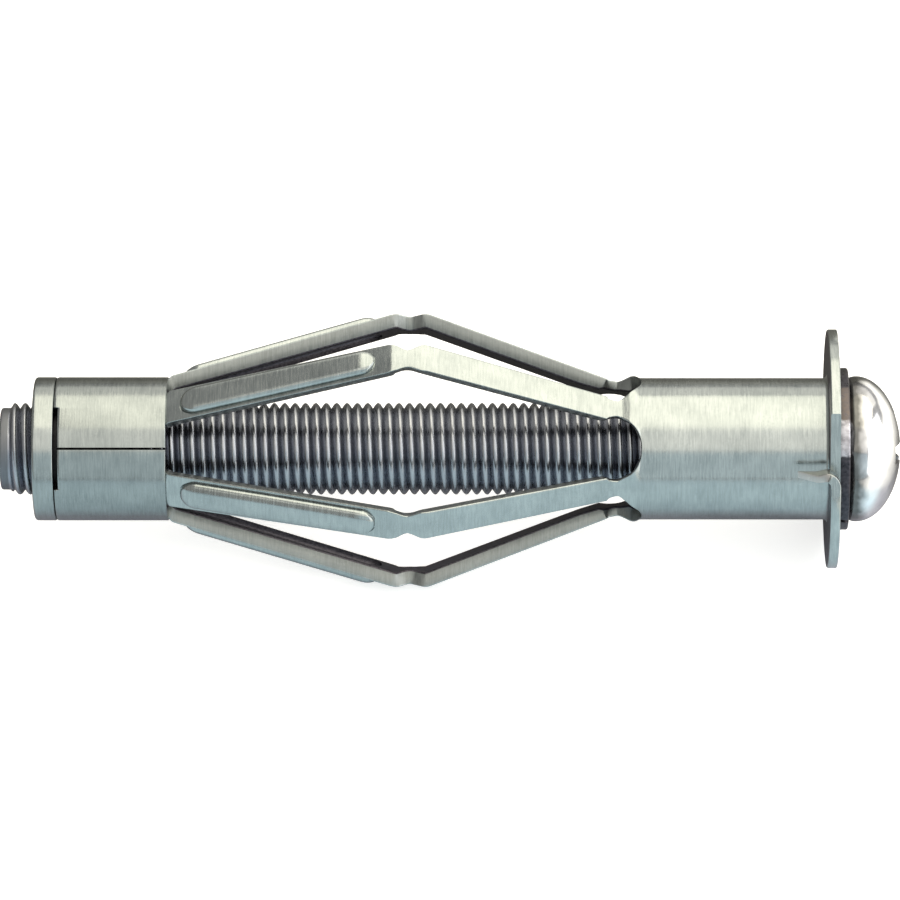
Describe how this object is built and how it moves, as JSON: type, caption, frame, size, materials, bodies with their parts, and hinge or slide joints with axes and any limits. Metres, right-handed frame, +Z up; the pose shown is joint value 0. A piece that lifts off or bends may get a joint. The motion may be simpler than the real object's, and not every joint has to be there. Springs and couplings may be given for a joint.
{
  "type": "hollow wall anchor",
  "caption": "Metal hollow wall anchor with a slotted, bulging sleeve, round flange with spurs, domed machine screw, lock washer and captive end nut.",
  "frame": {"origin": "on the anchor's axis, in the plane of the flange's face that lies on the wall", "axes": "+X along the anchor's axis towards the screw head, +Z up as the anchor lies on its side"},
  "size_m": [0.0783, 0.0239, 0.0229],
  "materials": {
    "sleeve_zinc": "satin zinc plate, brushed round the axis",
    "nut_zinc": "satin zinc plate, turned",
    "washer_dark": "dark oiled spring steel",
    "screw_steel": "bright domed head, darker blue-grey thread"
  },
  "bodies": {
    "sleeve": {"sleeve": "sleeve_zinc", "nut": "nut_zinc"},
    "lock_washer": {"lock_washer": "washer_dark"},
    "screw": {"screw": "screw_steel"}
  },
  "joints": [
    {"name": "screw_travel", "type": "slide", "parent": "sleeve", "child": "lock_washer", "axis": [1, 0, 0], "range_m": [0, 0.01176]},
    {"name": "screw_turn", "type": "hinge", "parent": "lock_washer", "child": "screw", "pos_m": [0, 0, 0], "axis": [1, 0, 0], "range_deg": [0, 4680]}
  ],
  "couplings": [
    {"joint": "screw_turn", "follows": "screw_travel", "rad_per_m": 6942.7}
  ]
}
